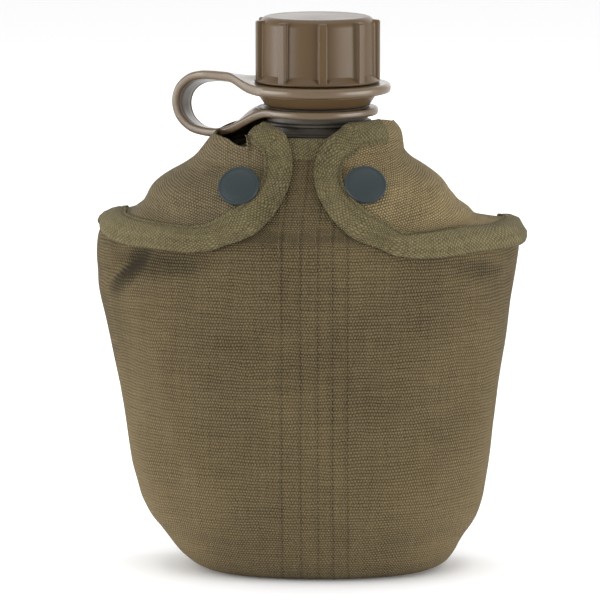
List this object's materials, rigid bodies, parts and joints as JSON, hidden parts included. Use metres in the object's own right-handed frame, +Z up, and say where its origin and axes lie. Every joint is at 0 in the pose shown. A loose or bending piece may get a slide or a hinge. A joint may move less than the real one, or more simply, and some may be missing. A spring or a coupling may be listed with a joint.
{
  "type": "canteen in a canvas cover",
  "caption": "One-quart kidney-shaped water canteen with a ribbed screw cap on a strap, in a lined canvas cover with snapped flaps and belt keepers on the back.",
  "frame": {"origin": "centre of the drain hole on the flat base, which is the middle of the body left to right", "axes": "+Z up through the neck, -Y out of the front with the snapped flaps, +X to the right seen from the front"},
  "size_m": [0.1602, 0.0891, 0.2058],
  "materials": {
    "bottle": "satin",
    "cap": "satin",
    "gasket": "matt",
    "canvas": "plain-weave cotton duck",
    "binding": "woven tape",
    "webbing": "woven webbing",
    "felt": "wool felt",
    "snap": "satin enamel",
    "brass": "dull",
    "blackened": "satin"
  },
  "bodies": {
    "bottle_and_cover": {"bottle": "bottle", "strap_lower_ring": "cap", "strap_loop": "cap", "front_panel": "canvas", "back_panel": "canvas", "liner_front": "felt", "liner_back": "felt", "front_webbing": "webbing", "front_edge_binding": "binding", "flap_yoke_left": "canvas", "flap_yoke_right": "canvas", "snap_stud_left": "brass", "snap_stud_right": "brass", "stud_washers": "brass", "drain_eyelet": "blackened", "drain_washer": "blackened", "hanger_strap_left": "webbing", "hanger_strap_right": "webbing", "keeper_loops_left": "webbing", "keeper_loops_right": "webbing", "keeper_clip_left": "blackened", "keeper_clip_right": "blackened"},
    "cap_ring": {"strap_upper_ring": "cap"},
    "cap": {"cap": "cap", "cap_gasket": "gasket"},
    "flap_left": {"flap_left": "canvas", "flap_binding_left": "binding", "snap_cap_left": "snap", "snap_socket_left": "brass"},
    "keeper_slide_left": {"keeper_slide_left": "blackened"},
    "flap_right": {"flap_right": "canvas", "flap_binding_right": "binding", "snap_cap_right": "snap", "snap_socket_right": "brass"},
    "keeper_slide_right": {"keeper_slide_right": "blackened"}
  },
  "joints": [
    {"name": "cap_lift", "type": "slide", "parent": "bottle_and_cover", "child": "cap_ring", "axis": [0, 0, 1], "range_m": [0, 0.0295], "deforming": ["strap_loop"]},
    {"name": "cap_turn", "type": "hinge", "parent": "cap_ring", "child": "cap", "pos_m": [0.003, 0, 0.19], "axis": [0, 0, 1], "range_deg": [0, 2520]},
    {"name": "flap_left_open", "type": "hinge", "parent": "bottle_and_cover", "child": "flap_left", "pos_m": [-0.0785, 0.018, 0.133], "axis": [-0.7745, 0.2708, -0.5716], "range_deg": [0, 75]},
    {"name": "flap_right_open", "type": "hinge", "parent": "bottle_and_cover", "child": "flap_right", "pos_m": [0.08, 0.018, 0.133], "axis": [-0.765, -0.276, 0.582], "range_deg": [0, 110]},
    {"name": "keeper_left_release", "type": "slide", "parent": "bottle_and_cover", "child": "keeper_slide_left", "axis": [0, 0, -1], "range_m": [0, 0.0085]},
    {"name": "keeper_right_release", "type": "slide", "parent": "bottle_and_cover", "child": "keeper_slide_right", "axis": [0, 0, -1], "range_m": [0, 0.0085]}
  ],
  "couplings": [
    {"joint": "cap_lift", "follows": "cap_turn", "m_per_rad": 0.00066845}
  ]
}
